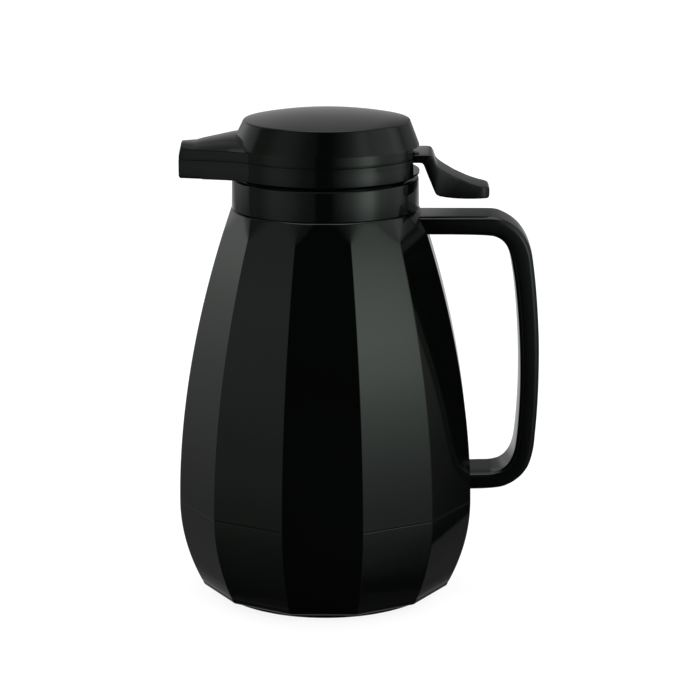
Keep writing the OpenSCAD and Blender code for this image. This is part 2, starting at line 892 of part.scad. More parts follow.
module spout_duct() {
    color("#2b2c2e")
        difference() {
            duct_space(0, plug_r - plug_wall / 2, spout_reach - tip_lean - tip_step);
            translate([-spout_reach - over, -duct_w / 2, flange_top_z + duct_wall])
                cube([spout_reach + over, duct_w, duct_h]);
        }
}

module lid_screws() {
    color("#8a8c8f")
        lid_screw_places() {
            translate([0, 0, flange_z])
                cylinder(r = lid_screw_r, h = lid_screw_l);
            translate([0, 0, flange_z - lid_screw_head_h])
                cylinder(r = lid_screw_head_r, h = lid_screw_head_h);
        }
}

// Stem that the lever lifts, with the disc that holds the seal
module valve_stem() {
    color("#d8d8d4") {
        translate([0, 0, seal_z + seal_h])
            cylinder(r = valve_hole_r + disc_edge, h = disc_t);
        translate([0, 0, seal_z + seal_h])
            cylinder(r = stem_r, h = head_z - seal_z - seal_h + over);
        translate([0, 0, head_z])
            cylinder(r = head_r, h = head_t);
        translate([0, 0, head_z])
            cylinder(r = nipple_r, h = head_t + nipple_h);
    }
}

module valve_seal() {
    color("#b9b7b0")
        translate([0, 0, seal_z + run_gap])
            cylinder(r1 = valve_hole_r + seal_edge, r2 = valve_hole_r + disc_edge, h = seal_h - run_gap);
}

// Spring that presses the stem down, one unbroken wire
module valve_spring() {
    curl_steps = 8;
    wire_sides = 6;
    wire = spring_wire / 2;
    climb = (spring_top_z - spring_low_z - spring_wire) / spring_curls;
    color("#9a9ca0")
        loft([
            for (i = [0:spring_curls * curl_steps])
                let (a = i * 360 / curl_steps)
                [for (k = [0:wire_sides - 1])
                    let (b = k * 360 / wire_sides)
                    let (r = spring_r + wire * cos(b))
                    [r * cos(a), r * sin(a), spring_low_z + wire + climb * i / curl_steps + wire * sin(b)]]
        ]);
}

// Lever: thumb tab outside the lid, hub on the pin, two arms under the stem's head
module lever() {
    color("#232426")
        difference() {
            union() {
                intersection() {
                    tab_side();
                    tab_plan();
                }
                pin_line(hub_r, lever_w);
                for (s = [-1, 1]) {
                    translate([0, s * arm_y - arm_w / 2, arm_z - arm_h / 2])
                        cube([pivot_x + hub_r, arm_w, arm_h]);
                    translate([0, s * arm_y, arm_z])
                        rotate([90, 0, 0])
                            cylinder(r = arm_r, h = arm_w, center = true);
                }
            }
            pin_line(pin_r + run_gap, 2 * lid_r);
        }
}

// Side view of the thumb tab, extruded over the lever's width
module tab_side() {
    top = tab_top_z;
    low = top - lever_drop;
    foot = [web_x + web_run, low + tab_round];
    tip = [lever_reach - tab_edge, low + tab_t];
    knee = [web_x + knee_run, top - knee_drop];
    rotate([90, 0, 0])
        linear_extrude(height = lever_w, center = true)
            polygon(concat(
                [[pivot_x, top], [pivot_x, top - lever_t], [web_x, top - lever_t]],
                [for (t = [0:0.125:1])
                    bend(foot, [foot[0] + web_t / 2, low], [mix(web_x, lever_reach, 0.75), low], t)],
                [[lever_reach - tab_edge, low], [lever_reach, low + tab_edge]],
                [[lever_reach, tip[1] - tab_edge]],
                [for (t = [0:0.125:1]) bend(tip, [mix(knee[0], tip[0], 0.65), tip[1]], knee, t)],
                [[web_x + web_t, top]]
            ));
}

// Plan view of the thumb tab, narrower towards its round-cornered tip
module tab_plan() {
    translate([0, 0, pivot_z - lid_r])
        linear_extrude(height = 2 * lid_r)
            hull() {
                translate([pivot_x, -lever_w / 2])
                    square([web_x + web_t - pivot_x, lever_w]);
                for (s = [-1, 1])
                    translate([lever_reach - tab_corner, s * (lever_tip_w / 2 - tab_corner)])
                        circle(r = tab_corner);
            }
}

module lever_pin() {
    color("#a8aaad")
        pin_line(pin_r, 2 * (lever_w / 2 + joint_gap + ear_t));
}

outer_shell();
base_cup();
base_plug();
base_pad();
neck_collar();
neck_gasket();
flask_outer_wall();
flask_inner_wall();
flask_seal_cap();
flask_cushion();
handle();
handle_screws();
lid_base();
lid_cover();
lid_plug();
lid_gasket();
chamber_cover();
stem_seal();
spout_duct();
lid_screws();
valve_stem();
valve_seal();
valve_spring();
lever();
lever_pin();
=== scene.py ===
import bpy
import math
import numpy as np
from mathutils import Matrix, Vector


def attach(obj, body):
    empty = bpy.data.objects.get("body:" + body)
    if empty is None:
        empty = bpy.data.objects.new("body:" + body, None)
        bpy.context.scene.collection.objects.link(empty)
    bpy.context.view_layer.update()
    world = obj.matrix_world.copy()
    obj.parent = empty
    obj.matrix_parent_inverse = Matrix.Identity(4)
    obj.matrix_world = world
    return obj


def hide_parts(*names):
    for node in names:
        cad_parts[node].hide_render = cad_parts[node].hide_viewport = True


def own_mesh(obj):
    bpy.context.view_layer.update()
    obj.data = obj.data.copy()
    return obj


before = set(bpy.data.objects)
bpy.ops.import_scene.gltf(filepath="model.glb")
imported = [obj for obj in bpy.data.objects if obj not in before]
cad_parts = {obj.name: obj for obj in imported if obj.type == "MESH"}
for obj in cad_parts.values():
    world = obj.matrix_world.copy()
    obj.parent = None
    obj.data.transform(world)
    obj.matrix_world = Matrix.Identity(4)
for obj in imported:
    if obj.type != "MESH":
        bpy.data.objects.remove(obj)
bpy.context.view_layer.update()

# The pieces are written in millimetres above the body's lowest flat edge, which is LIFT above the ground.
MM = 0.001
LIFT = 3.5

# Materials

PLASTIC_IOR = 1.5
BROAD_SCALE, BRUSHED_SCALE = 22, 260
PLASTIC_BUMP, BRUSHED_BUMP, BRUSHED_DEPTH = 0.25, 0.15, 0.00003


def principled(name, color, rough, metallic=0.0):
    material = bpy.data.materials.new(name)
    material.use_nodes = True
    tree = material.node_tree
    shader = tree.nodes["Principled BSDF"]
    shader.inputs["Base Color"].default_value = (*color, 1)
    shader.inputs["Roughness"].default_value = rough
    shader.inputs["Metallic"].default_value = metallic
    shader.inputs["IOR"].default_value = PLASTIC_IOR
    return material, tree, shader


def noise(tree, scale, detail, stretch=(1, 1, 1)):
    """Noise texture in the object's own coordinates."""
    coords = tree.nodes.new("ShaderNodeTexCoord")
    mapping = tree.nodes.new("ShaderNodeMapping")
    mapping.inputs["Scale"].default_value = stretch
    texture = tree.nodes.new("ShaderNodeTexNoise")
    texture.inputs["Scale"].default_value = scale
    texture.inputs["Detail"].default_value = detail
    tree.links.new(coords.outputs["Object"], mapping.inputs["Vector"])
    tree.links.new(mapping.outputs["Vector"], texture.inputs["Vector"])
    return texture


def spread(tree, texture, low, high, socket):
    """Number that varies with the texture from low to high."""
    span = tree.nodes.new("ShaderNodeMapRange")
    span.inputs["From Min"].default_value = 0.3
    span.inputs["From Max"].default_value = 0.7
    span.inputs["To Min"].default_value = low
    span.inputs["To Max"].default_value = high
    tree.links.new(texture.outputs["Fac"], span.inputs["Value"])
    tree.links.new(span.outputs["Result"], socket)


def tint(tree, texture, low, high, socket):
    """Colour that varies with the texture from low to high."""
    ramp = tree.nodes.new("ShaderNodeValToRGB")
    ramp.color_ramp.elements[0].position = 0.35
    ramp.color_ramp.elements[0].color = (*low, 1)
    ramp.color_ramp.elements[1].position = 0.65
    ramp.color_ramp.elements[1].color = (*high, 1)
    tree.links.new(texture.outputs["Fac"], ramp.inputs["Fac"])
    tree.links.new(ramp.outputs["Color"], socket)


def bump(tree, texture, shader, strength, depth):
    node = tree.nodes.new("ShaderNodeBump")
    node.inputs["Strength"].default_value = strength
    node.inputs["Distance"].default_value = depth
    tree.links.new(texture.outputs["Fac"], node.inputs["Height"])
    tree.links.new(node.outputs["Normal"], shader.inputs["Normal"])


def plastic(name, dark, light, rough, grain, depth, sheen=(1, 1, 1), specular=0.5):
    """Plastic or rubber with a range of colour and roughness, and a grain whose depth is in metres."""
    material, tree, shader = principled(name, dark, rough[0])
    shader.inputs["Specular Tint"].default_value = (*sheen, 1)
    shader.inputs["Specular IOR Level"].default_value = specular
    broad = noise(tree, BROAD_SCALE, 3)
    fine = noise(tree, grain, 2)
    tint(tree, broad, dark, light, shader.inputs["Base Color"])
    spread(tree, broad, rough[0], rough[1], shader.inputs["Roughness"])
    bump(tree, fine, shader, PLASTIC_BUMP, depth)
    return material


def brushed(name, color, rough, stretch):
    """Metal with fine lines. They lie closest along the axis that has the largest stretch."""
    material, tree, shader = principled(name, color, rough, metallic=1.0)
    lines = noise(tree, BRUSHED_SCALE, 5, stretch)
    lighter = tuple(min(1, c * 1.12) for c in color)
    tint(tree, lines, color, lighter, shader.inputs["Base Color"])
    spread(tree, lines, rough * 0.8, rough * 1.3, shader.inputs["Roughness"])
    bump(tree, lines, shader, BRUSHED_BUMP, BRUSHED_DEPTH)
    return material


GREENISH = (0.88, 1.0, 0.91)
GLOSS_BLACK = (0.0008, 0.0011, 0.0009), (0.0012, 0.0016, 0.0013)
SATIN_BLACK = (0.001, 0.0013, 0.0011), (0.0015, 0.0019, 0.0016)
M = {
    "gloss": plastic("shell_black", *GLOSS_BLACK, (0.045, 0.07), 900, 0.000004, GREENISH),
    "bar": plastic("handle_black", *GLOSS_BLACK, (0.05, 0.08), 900, 0.000004, GREENISH),
    "satin": plastic("lid_black", *SATIN_BLACK, (0.1, 0.14), 2600, 0.00001, GREENISH, 0.43),
    "collar": plastic("collar_black", *SATIN_BLACK, (0.07, 0.1), 2600, 0.000008, GREENISH),
    "dark": plastic("dark_plastic", (0.008, 0.008, 0.0085), (0.012, 0.012, 0.0125),
                    (0.38, 0.48), 2400, 0.00002),
    "pale": plastic("pale_plastic", (0.62, 0.62, 0.58), (0.7, 0.7, 0.66), (0.36, 0.46), 1500, 0.00001),
    "pad": plastic("pad_rubber", (0.018, 0.018, 0.019), (0.028, 0.028, 0.029), (0.75, 0.9), 1500, 0.00005),
    "seal": plastic("pale_rubber", (0.42, 0.41, 0.38), (0.5, 0.49, 0.46), (0.45, 0.6), 1200, 0.00002),
    "cushion": plastic("dark_rubber", (0.02, 0.02, 0.02), (0.03, 0.03, 0.03), (0.7, 0.85), 1400, 0.00004),
    "steel": brushed("flask_steel", (0.5, 0.51, 0.52), 0.26, (1, 1, 12)),
    "screw": brushed("screw_steel", (0.5, 0.5, 0.51), 0.3, (6, 6, 1)),
    "wire": brushed("spring_steel", (0.52, 0.53, 0.54), 0.22, (1, 1, 1)),
}

# Mesh helpers


def welded(verts, faces):
    """The mesh without doubled corners, and without the faces that fall flat with them."""
    verts = np.asarray(verts, float)
    _, first, same = np.unique(np.round(verts, 4), axis=0, return_index=True, return_inverse=True)
    same = same.reshape(-1)
    kept = []
    for face in faces:
        loop = [int(same[i]) for i in face]
        loop = [v for k, v in enumerate(loop) if v != loop[k - 1]]
        if len(loop) > 2 and len(set(loop)) == len(loop):
            kept.append(tuple(loop))
    return verts[first], kept


def piece(name, verts, faces, kind, body, nodes=(), sharp=32):
    mesh = bpy.data.meshes.new(name)
    verts, faces = welded(verts, faces)
    mesh.from_pydata([tuple(v) for v in (verts + (0, 0, LIFT)) * MM], [], faces)
    mesh.validate()
    mesh.polygons.foreach_set("use_smooth", [True] * len(mesh.polygons))
    mesh.set_sharp_from_angle(angle=math.radians(sharp))
    mesh.materials.append(M[kind])
    obj = bpy.data.objects.new(name, mesh)
    bpy.context.scene.collection.objects.link(obj)
    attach(obj, body)
    if nodes:
        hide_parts(*nodes)
    return obj


def band(rings, wrap=True):
    """Faces over rings of equal length. Each ring is closed, and so is the row of rings if wrap."""
    n = len(rings[0])
    count = len(rings)
    faces = []
    for i in range(count if wrap else count - 1):
        j = (i + 1) % count
        for k in range(n):
            m = (k + 1) % n
            faces.append((i * n + k, i * n + m, j * n + m, j * n + k))
    return faces


def turned(faces):
    return [face[::-1] for face in faces]


def looped(rings):
    """Mesh over a row of rings that returns to its first one."""
    return np.vstack(rings), band(rings)


def capped(rings):
    """Mesh over a row of rings, with a face on either end."""
    n = len(rings[0])
    last = (len(rings) - 1) * n
    faces = band(rings, wrap=False)
    faces.append(tuple(range(n - 1, -1, -1)))
    faces.append(tuple(last + k for k in range(n)))
    return np.vstack(rings), faces


def join(parts):
    """One mesh from several."""
    verts, faces, base = [], [], 0
    for v, f in parts:
        verts.append(v)
        faces += [tuple(i + base for i in face) for face in f]
        base += len(v)
    return np.vstack(verts), faces


def polar(r, angle):
    return np.array([r * math.cos(angle), r * math.sin(angle)])


def reach(xy):
    return np.hypot(xy[:, 0], xy[:, 1])


def out_to(xy, radius):
    """The points, moved along their rays to a distance from the axis."""
    return xy * (radius / reach(xy))[:, None]


def smin(a, b, k):
    """The lesser of two values, blended over a width near k."""
    low = np.minimum(a, b)
    return low - k * np.log(np.exp(-(a - low) / k) + np.exp(-(b - low) / k))


def smax(a, b, k):
    return -smin(-a, -b, k)


def corner(a, b, c, r, n=5):
    """Points that round the corner b of the outline a-b-c with a radius near r."""
    a, b, c = (np.asarray(p, float) for p in (a, b, c))
    u, v = a - b, c - b
    lu, lv = np.linalg.norm(u), np.linalg.norm(v)
    u, v = u / lu, v / lv
    half = math.acos(max(-1, min(1, float(u @ v)))) / 2
    d = min(r / max(math.tan(half), 1e-6), lu * 0.49, lv * 0.49)
    p, q = b + u * d, b + v * d
    radius = d * math.tan(half)
    centre = b + (u + v) / np.linalg.norm(u + v) * (d / math.cos(half))
    s = (p - centre) / radius
    e = (q - centre) / radius
    turn = math.acos(max(-1, min(1, float(s @ e))))
    if turn < 1e-4:
        return [tuple(b)]
    points = []
    for t in np.linspace(0, 1, n):
        w = (math.sin((1 - t) * turn) * s + math.sin(t * turn) * e) / math.sin(turn)
        points.append(tuple(centre + radius * w))
    return points


def rounded(outline, closed=True):
    """Outline of (x, y, radius) corners as points, with the corners rounded."""
    n = len(outline)
    points = []
    for i in range(n):
        x, y, r = outline[i]
        if r <= 0 or (not closed and i in (0, n - 1)):
            points.append((x, y))
        else:
            points += corner(outline[i - 1][:2], (x, y), outline[(i + 1) % n][:2], r)
    return points


def revolved(outline, count=256):
    """Solid of revolution from a closed outline of (radius, height, rounding), run counter-clockwise
    in the half plane with the radius to the right and the height upwards."""
    angles = np.arange(count) * 2 * math.pi / count
    return looped([np.stack([r * np.cos(angles), r * np.sin(angles), np.full(count, z)], 1)
                   for r, z in rounded(outline)])


def smooth_line(points, per):
    """Smooth line through points, with some steps per span."""
    p = np.array(points, float)
    p = np.vstack([2 * p[0] - p[1], p, 2 * p[-1] - p[-2]])
    line = []
    for i in range(1, len(p) - 2):
        a, b, c, d = p[i - 1:i + 3]
        for t in np.linspace(0, 1, per, endpoint=False):
            line.append(0.5 * (2 * b + (c - a) * t + (2 * a - 5 * b + 4 * c - d) * t * t
                               + (3 * b - a - 3 * c + d) * t ** 3))
    line.append(p[-2])
    return np.array(line)


def bar_between(upper_line, lower_line, section):
    """Bar along the X-Z plane between two edge lines. section gives the (across, y) points of a slice
    from its thickness, the upper edge's x and the middle's x."""
    rings = []
    for (x1, z1), (x0, z0) in zip(upper_line, lower_line):
        thick = math.hypot(x1 - x0, z1 - z0)
        ux, uz = (x1 - x0) / thick, (z1 - z0) / thick
        mx, mz = (x1 + x0) / 2, (z1 + z0) / 2
        rings.append([(mx + ux * s, y, mz + uz * s) for s, y in section(thick, x1, mx)])
    verts, faces = capped(rings)
    return verts, turned(faces)


def corner_arcs(x, y, r, n):
    """Arcs about the four corners of a rectangle, counter-clockwise from the first quadrant."""
    arcs = []
    for q, (sx, sy) in enumerate(((1, 1), (-1, 1), (-1, -1), (1, -1))):
        arcs.append([(sx * x + r * math.cos(a), sy * y + r * math.sin(a))
                     for a in np.radians(np.linspace(q * 90, q * 90 + 90, n))])
    return arcs


def bar_section(thick, wide, r):
    """Rounded rectangle."""
    return sum(corner_arcs(thick / 2 - r, wide / 2 - r, r, 6), [])


def crowned_section(thick, wide, r, crown=0.35):
    """Rounded rectangle whose broad faces swell a little."""
    points = []
    for q, arc in enumerate(corner_arcs(thick / 2 - r - crown, wide / 2 - r, r, 9)):
        points += arc
        if q % 2:
            x, y = arc[-1]
            points += [(x, y * (1 - share)) for share in np.arange(0.25, 1.9, 0.25)]
    edge = wide / 2 - r * 0.2
    return [(x + math.copysign(crown * max(0.0, 1 - (y / edge) ** 2), x), y) for x, y in points]


def block(x0, x1, y0, y1, z0, z1, r=0.5):
    """Box whose upright edges and top edges are rounded."""
    rings = []
    for d, z in ((0, z0), (0, z1 - r), (r * 0.3, z1 - r * 0.3), (r, z1)):
        outline = rounded([(x1 - d, y0 + d, r), (x1 - d, y1 - d, r),
                           (x0 + d, y1 - d, r), (x0 + d, y0 + d, r)])
        rings.append([(x, y, z) for x, y in outline])
    return capped(rings)


def rod(x, z, y0, y1, r, count=40, soft=0.2):
    """Round rod along Y with softened ends."""
    rings = []
    for y, radius in ((y0, r - soft), (y0 + soft, r), (y1 - soft, r), (y1, r - soft)):
        rings.append([(x + radius * math.cos(t), y, z - radius * math.sin(t))
                      for t in np.arange(count) * 2 * math.pi / count])
    return capped(rings)


def coil(radius, wire, z0, z1, turns, per=36, around=10):
    """Coil of round wire about Z, with the wire's radius and some steps per turn."""
    rings = []
    steps = int(turns * per)
    for i in range(steps + 1):
        a = 2 * math.pi * i / per
        z = z0 + wire + (z1 - z0 - 2 * wire) * i / steps
        ring = []
        for k in range(around):
            b = 2 * math.pi * k / around
            r = radius + wire * math.cos(b)
            ring.append((r * math.cos(a), r * math.sin(a), z + wire * math.sin(b)))
        rings.append(ring)
    verts, faces = capped(rings)
    return verts, turned(faces)


# Body: a shell and a cup with flat sides, which meet at the ridge

SIDES = 12
HALF_SIDE = 180 / SIDES
EDGE_R = 0.8
FACE_STEPS = (0.012, 0.1, 0.25, 0.4, 0.6, 0.75, 0.9, 0.988)
RIDGE, RIDGE_Z = 72.5, 45.5
SHELL_TOP_Z, SHELL_TAPER = 191.4, 26.2
CUP_TAPER, CUP_DEPTH = 11.0, 44.0
SHOULDER_R, SHOULDER_START, SHOULDER_BLEND = 46.4, 172, 0.12
WALL = 2.5


def body_columns(apothem):
    """Closed ring of points round a regular outline with SIDES flats and rounded edges."""
    points = []
    inner = (apothem - EDGE_R) / math.cos(math.radians(HALF_SIDE))
    for k in range(SIDES):
        here, face, following = (math.radians(HALF_SIDE * (2 * k + side)) for side in (-1, 0, 1))
        for d in np.radians(np.linspace(-HALF_SIDE, HALF_SIDE, 5)):
            points.append(polar(inner, here) + polar(EDGE_R, here + d))
        p = polar(inner, here) + polar(EDGE_R, face)
        q = polar(inner, following) + polar(EDGE_R, face)
        points += [p + (q - p) * t for t in FACE_STEPS]
    return np.array(points)


def upper(z):
    """Distance from the axis to the flats at a height above the ridge."""
    return RIDGE - SHELL_TAPER * max(0.0, (z - RIDGE_Z) / (SHELL_TOP_Z - RIDGE_Z)) ** 1.9


def lower(z):
    """Distance from the axis to the flats at a height below the ridge."""
    return RIDGE - CUP_TAPER * ((RIDGE_Z - z) / CUP_DEPTH) ** 2


def shoulder(z):
    """Radius of the cone that cuts the flats to arches."""
    return SHOULDER_R + 0.5 * (SHELL_TOP_Z - z)


def flat_ring(apothem, z, cone=None):
    xy = body_columns(apothem)
    if cone is not None:
        xy = out_to(xy, smin(reach(xy), cone, SHOULDER_BLEND))
    return np.column_stack([xy, np.full(len(xy), z)])


def round_ring(radius, z):
    xy = out_to(body_columns(10), radius)
    return np.column_stack([xy, np.full(len(xy), z)])


rings = [flat_ring(*q) for q in ((70.2, 45.6), (72.1, 45.55), (72.42, 45.65), (72.52, 45.9), (RIDGE, 46.2))]
for z in np.concatenate([np.arange(48, 168, 3.0), np.arange(168, 178.9, 1.2), np.arange(179, 190.9, 0.3)]):
    rings.append(flat_ring(upper(z), z, shoulder(z) if z > SHOULDER_START else None))
rings.append(flat_ring(46.45, 190.95, 46.52))
rings += [round_ring(*q) for q in ((46.2, 191.2), (45.9, 191.35), (43.4, 191.35), (43.4, 187.4))]
rings.append(flat_ring(upper(187.4) - WALL, 187.3))
rings += [flat_ring(upper(z) - WALL, z) for z in np.arange(180, 46, -8.0)]
piece("shell_skin", *looped(rings), "gloss", "carafe", ["outer_shell"], sharp=40)

cup_flats = [(59.75, -0.28), (60.2, -0.1), (60.75, 0.3), (61.2, 0.85), (61.55, 1.6), (61.8, 2.4)]
cup_flats += [(lower(z), z) for z in np.arange(3.2, 45.3, 1.5)]
cup_flats += [(RIDGE, 44.9), (72.52, 45.15), (72.42, 45.38), (72.1, 45.45), (69.7, 45.45), (69.7, 50.5),
              (67.3, 50.5), (67.3, 40.0)]
cup_flats += [(lower(z) - WALL, z) for z in np.arange(38, 5, -4.0)]
cup_flats += [(59.4, 2.5)]
cup_rounds = [(41.2, 2.5), (41.2, 8.4), (38.25, 8.4), (38.25, 0.0), (40.2, 0.0), (40.2, -1.0), (51.4, -1.0),
              (51.5, -3.1), (51.9, -3.48), (54.9, -3.48), (55.3, -3.3), (55.5, -2.9), (55.5, -0.35)]
rings = [flat_ring(*q) for q in cup_flats] + [round_ring(*q) for q in cup_rounds]
piece("cup_skin", *looped(rings), "gloss", "carafe", ["base_cup"], sharp=40)

# Collar with its thread

BORE_R, RIB_TIP_R, RIB_ROOT, RIB_HALF = 42.0, 40.1, 0.5, 0.7
RIB_START_Z, RIB_SWEEP, THREAD_LEAD, THREAD_STARTS = 200.2, 60, 30.0, 4


def rib(start, steps=24):
    """Helical rib on the collar's bore, whose ends taper away."""
    rings = []
    for i in range(steps + 1):
        t = i / steps
        a = math.radians(start + RIB_SWEEP * t)
        z = RIB_START_Z + THREAD_LEAD * RIB_SWEEP * t / 360
        grow = min(1, min(t, 1 - t) * 8 + 0.15)
        h = RIB_HALF * (0.6 + 0.4 * grow)
        root, tip = BORE_R + RIB_ROOT, BORE_R - (BORE_R - RIB_TIP_R) * grow
        section = ((root, z - h), (root, z + h), (tip, z + h * 0.6), (tip, z - h * 0.6))
        rings.append([(*polar(r, a), height) for r, height in section])
    return capped(rings)


collar = revolved([
    (46.2, 191.45, 0.35), (45.9, 206.3, 0.7), (BORE_R, 206.3, 0.6), (BORE_R, 196.2, 0.3),
    (34.85, 196.2, 0.2), (34.85, 194.7, 0.1), (38.6, 194.7, 0), (38.6, 186.0, 0), (43.2, 186.0, 0),
    (43.2, 191.45, 0)])
ribs = [rib(360 / THREAD_STARTS * k) for k in range(THREAD_STARTS)]
piece("collar_skin", *join([collar] + ribs), "collar", "carafe", ["neck_collar"])

# Handle

HANDLE_WIDTH, HANDLE_EDGE_R = 28.0, 2.4
outer_edge = [(44, 188.85), (60, 188.85), (76, 188.85), (84.0, 188.6), (88.5, 187.0), (92.5, 184.6),
              (96.0, 181.5), (99.0, 177.3), (100.9, 173.0), (102.2, 167.5), (103.9, 154.4), (105.2, 139.3),
              (106.0, 124.0), (106.1, 107.0), (105.7, 92.5), (104.9, 80.0), (104.0, 70.6), (102.0, 63.0),
              (99.0, 58.0), (95.2, 54.4), (91.5, 52.2), (87.5, 50.8), (80.0, 49.95), (68.5, 49.6)]
inner_edge = [(44, 179.25), (60, 179.25), (73, 179.1), (80.5, 178.75), (84.0, 178.0), (86.8, 176.3),
              (88.8, 173.9), (90.2, 170.8), (91.0, 168.0), (91.9, 163.5), (93.4, 154.0), (95.0, 138.5),
              (96.1, 121.0), (96.4, 104.0), (96.0, 89.5), (95.2, 78.0), (94.2, 70.6), (92.6, 65.9),
              (90.4, 62.6), (87.8, 60.5), (85.0, 59.5), (82.0, 59.0), (77.0, 58.9), (68.5, 58.7)]


def handle_slice(thick, *_):
    return crowned_section(thick, HANDLE_WIDTH, HANDLE_EDGE_R)


loop = bar_between(smooth_line(outer_edge, 8), smooth_line(inner_edge, 8), handle_slice)
piece("handle_skin", *loop, "bar", "carafe", ["handle"], sharp=50)

# Lid: a round part and a spout, cut at the seam into a cover and a base

LID_R, LID_WALL = 46.1, 2.0
SPOUT_TIP, SPOUT_TIP_HALF = 71.5, 9.8
SPOUT_ROOT, SPOUT_ROOT_HALF = 35.0, 29.5
SPOUT_SLOPE = (SPOUT_ROOT_HALF - SPOUT_TIP_HALF) / (SPOUT_TIP - SPOUT_ROOT)
SPOUT_SAG = 1.4
MOUTH_TOP, MOUTH_FLOOR, MOUTH_HALF = 216.6, 209.6, 8.7
SEAM_Z, SLOT_Y, SLOT_TOP, SLOT_FLOOR = 217.2, 16.8, 222.25, 211.2
FOOT_Z, FLANGE_Z = 208.0, 209.75
DOME_Z, DOME_RISE, DOME_R, DOME_SHIFT = 234.6, 4.45, 40.9, 0.7
CONE_Z, CONE_RISE, CONE_RUN = 222.5, 12.1, 5.2
# points of the outline further out than SPOUT_FROM lie on the spout, and at its tip if x is below TIP_FROM
SPOUT_FROM, TIP_FROM = LID_R + 0.01, -70.0
ROOF_FROM, ROOF_DROP, WALL_TOP_Z = -20, 0.55, 222.0
COVER_THICK, PLUG_BORE_R, CHANNEL_TURN, CHANNEL_FLOOR = 2.2, 33.25, 0.21, 209.8


def lid_outline(grow, tip, step=0.8):
    """Plan outline of the lid with its spout as (x, y) points, counter-clockwise from +X."""
    tip_half = SPOUT_TIP_HALF + grow
    # the first point of the spout's side that is outside the circle
    x = np.arange(SPOUT_ROOT, LID_R, 0.01)
    y = tip_half + (tip - x) * SPOUT_SLOPE
    k = np.argmax(x * x + y * y >= LID_R * LID_R)
    meet = x[k], y[k]
    slot, spout = math.asin(SLOT_Y / LID_R), math.atan2(meet[1], -meet[0])
    turns = np.concatenate([np.linspace(0, slot, 12)[:-1], np.linspace(slot, spout, 84)])
    points = [polar(LID_R, t) for t in turns]
    side = rounded([(-meet[0], meet[1], 0), (-tip, tip_half, 1.0), (-tip, 0, 0)], closed=False)
    for p, q in zip(side[:-1], side[1:]):
        n = max(1, int(math.hypot(q[0] - p[0], q[1] - p[1]) / step))
        points += [(p[0] + (q[0] - p[0]) * i / n, p[1] + (q[1] - p[1]) * i / n)
                   for i in range(1, n + 1)]
    half = np.array(points)
    return np.vstack([half, half[1:-1][::-1] * (1, -1)])


def inset(outline, d):
    """Outline moved inwards by d, square to itself."""
    def unit(v):
        return v / np.maximum(reach(v)[:, None], 1e-9)

    along = unit(unit(np.roll(outline, -1, 0) - outline) + unit(outline - np.roll(outline, 1, 0)))
    return outline + np.column_stack([-along[:, 1], along[:, 0]]) * d


def sag(x):
    """How much lower the spout is at x than at its root."""
    return SPOUT_SAG * np.maximum(0.0, -x - LID_R) / (SPOUT_TIP - LID_R)


def mouth(outline):
    """True for the points of the spout's tip that the pouring channel opens between."""
    return (outline[:, 0] < TIP_FROM) & (np.abs(outline[:, 1]) < MOUTH_HALF)


def cone_top(x, y):
    """Height of the lid's round part. Its upper edge stands a little towards the handle."""
    climb = np.clip((LID_R - np.hypot(x, y)) / CONE_RUN, 0.0, 1.0)
    r = np.hypot(x - DOME_SHIFT * climb, y)
    dome = DOME_Z + DOME_RISE * (1 - np.minimum(r / DOME_R, 1.0) ** 2)
    cone = CONE_Z + (LID_R - r) / CONE_RUN * CONE_RISE
    return smin(dome, cone, 0.3)


def roof_top(x, y):
    """Height of the spout's roof, which is crowned across and steps up a little behind the tip."""
    half = 9.65 + (71.2 + x) * SPOUT_SLOPE
    t = np.minimum(np.abs(y) / half, 1.0)
    crown = np.where(x < -60.5, 2.5 + 0.253 * np.maximum(63.5 + x, 0.0), 3.26 + 0.167 * (x + 60.5))
    return 222.1 - 0.7 * sag(x) + crown * (1 - t ** 2.5)


def lid_height(xy):
    x, y = xy[:, 0], xy[:, 1]
    round_part = cone_top(x, y)
    roof = np.where(x < ROOF_FROM, roof_top(x, y), 0.0)
    return np.where(x < ROOF_FROM, smax(round_part, roof, 0.2), round_part)


